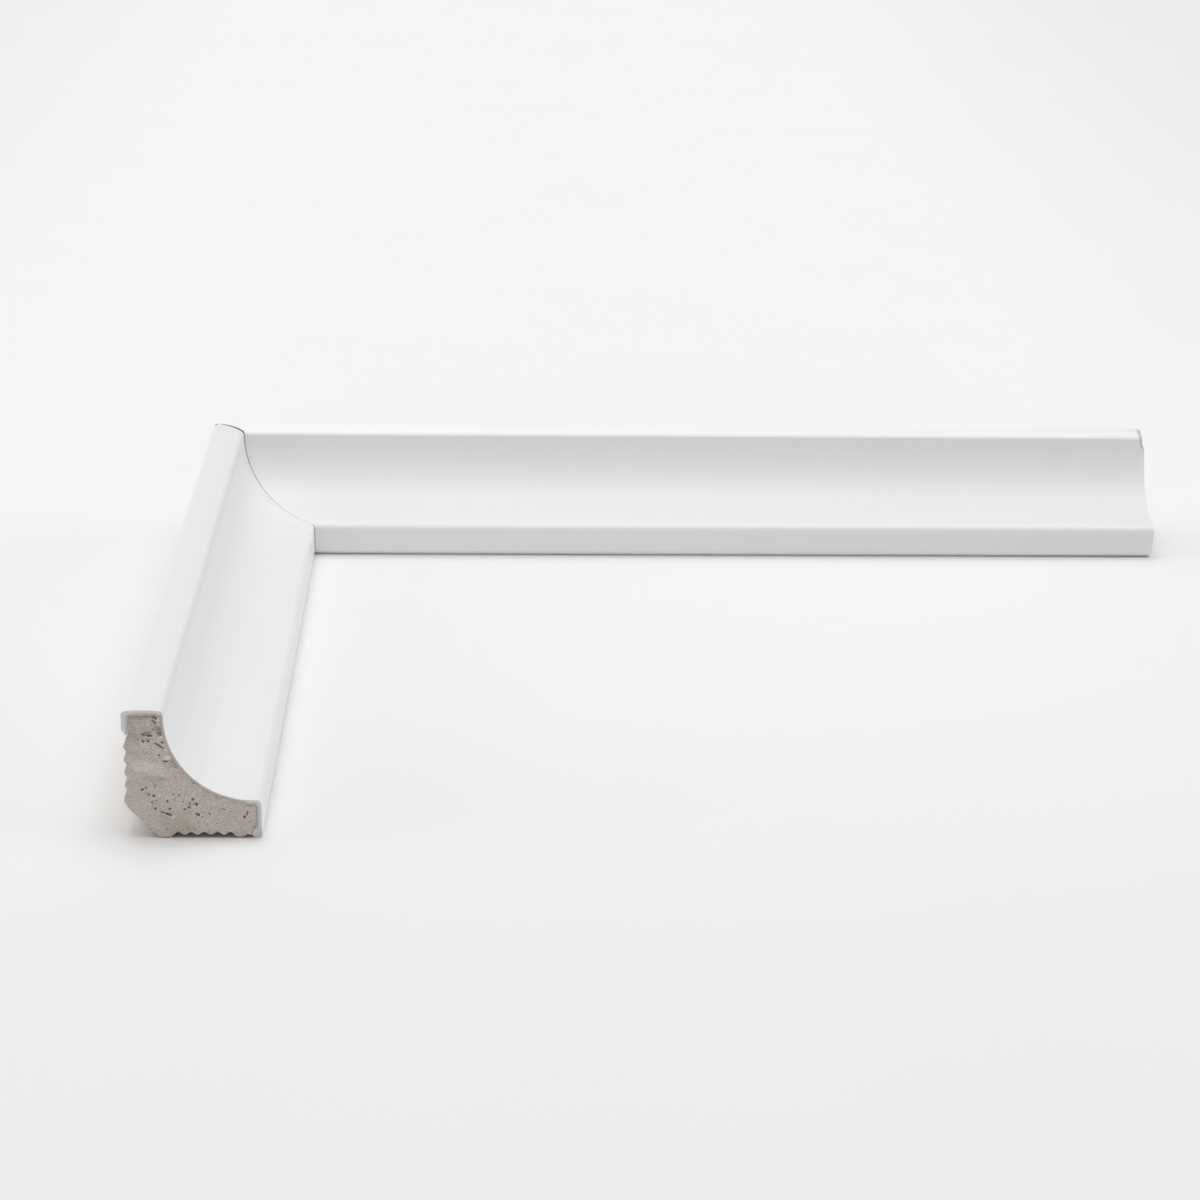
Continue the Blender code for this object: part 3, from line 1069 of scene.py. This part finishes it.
def make_lengths():
    end_grain = end_grain_material()
    cut_edge = film_edge_material()
    kinds = (
        ("long", long_place, 1, long_part, long_free_end, 0, LONG_FILM_SHADING, LONG_FILM_LIGHT_RUN),
        ("short", short_place, -1, short_part, short_free_end, 1, SHORT_FILM_SHADING, None),
    )
    for length, place, side, part, end, axis, shading_bands, run in kinds:
        bare = long_grain_material("wood_" + length, axis)
        film = film_material("white_film_" + length, axis, shading_bands, run)
        make_wood(length, place, side, part, end, [bare, end_grain])
        make_film(length, place, side, part, end, [film, cut_edge])


# Studio

def painted_light_on_paper(tree):
    """Painted light on the paper: a pool of light, a little greyer away from its middle."""
    place = split_place(tree)
    light_middle = [value * MM for value in PAPER_LIGHT_MIDDLE]
    nearer = math_node(tree, "MINIMUM", place["Y"], light_middle[1])
    joined = add_node(tree, "ShaderNodeCombineXYZ")
    tree.links.new(place["X"], joined.inputs["X"])
    tree.links.new(nearer, joined.inputs["Y"])
    away = add_node(tree, "ShaderNodeVectorMath", operation="DISTANCE")
    tree.links.new(joined.outputs["Vector"], away.inputs[0])
    away.inputs[1].default_value = (*light_middle, 0.0)
    furthest = PAPER_LIGHT_FALLOFF[-1][0]
    share = math_node(tree, "DIVIDE", away.outputs["Value"], furthest * MM)
    return tones(tree, share, [(distance / furthest, tone) for distance, tone in PAPER_LIGHT_FALLOFF])


def make_floor():
    material, tree, shader = new_material("paper_floor")
    mottle = noise_value(tree, fine_place(tree), 0.02, 2.0)
    colour = ramp(tree, mottle, [(0.3, (0.888, 0.888, 0.89)), (0.7, (0.892, 0.892, 0.892))])
    colour = blend_colours(tree, "MULTIPLY", 1.0, colour, painted_light_on_paper(tree))
    tree.links.new(colour, shader.inputs["Base Color"])
    shader.inputs["Roughness"].default_value = 0.9
    shader.inputs["Specular IOR Level"].default_value = 0.1
    half = FLOOR_SIZE / 2
    data = bpy.data.meshes.new("floor")
    corners = [(-half, -half, 0.0), (half, -half, 0.0), (half, half, 0.0), (-half, half, 0.0)]
    data.from_pydata(corners, [], [(0, 1, 2, 3)])
    data.materials.append(material)
    floor = bpy.data.objects.new("floor", data)
    bpy.context.scene.collection.objects.link(floor)


def lobe_light(tree, direction, lobe):
    """The light of one soft lobe, by direction."""
    turn, height = math.radians(lobe.azimuth), math.radians(lobe.height)
    towards = add_node(tree, "ShaderNodeVectorMath", operation="DOT_PRODUCT")
    tree.links.new(direction, towards.inputs[0])
    level = math.cos(height)
    towards.inputs[1].default_value = (level * math.cos(turn), level * math.sin(turn), math.sin(height))
    facing = math_node(tree, "MAXIMUM", towards.outputs["Value"], 0.0)
    narrowed = math_node(tree, "POWER", facing, float(lobe.sharpness))
    return math_node(tree, "MULTIPLY", narrowed, lobe.strength)


def make_sky():
    """A studio of soft light, made of the lobes."""
    world = bpy.data.worlds.new("studio")
    bpy.context.scene.world = world
    world.use_nodes = True
    tree = world.node_tree
    background = tree.nodes["Background"]
    direction = add_node(tree, "ShaderNodeTexCoord").outputs["Generated"]
    total = lobe_light(tree, direction, SKY_LOBES[0])
    for lobe in SKY_LOBES[1:]:
        total = math_node(tree, "ADD", total, lobe_light(tree, direction, lobe))
    tree.links.new(total, background.inputs["Strength"])
    background.inputs["Color"].default_value = (1.0, 1.0, 1.0, 1.0)


def make_camera():
    data = bpy.data.cameras.new("camera")
    data.sensor_width = SENSOR
    data.lens = CAMERA_LENS
    data.clip_start = 0.01
    camera = bpy.data.objects.new("camera", data)
    bpy.context.scene.collection.objects.link(camera)
    turn = Matrix.Rotation(CAMERA_YAW, 4, "Z") @ Matrix.Rotation(math.pi / 2 - CAMERA_PITCH, 4, "X")
    place = Matrix.Translation(CORNER + CAMERA_FROM_CORNER)
    camera.matrix_world = place @ turn @ Matrix.Rotation(CAMERA_ROLL, 4, "Z")
    bpy.context.scene.camera = camera
    bpy.context.scene.view_settings.view_transform = "Standard"


make_camera()
make_sky()
make_floor()
make_lengths()
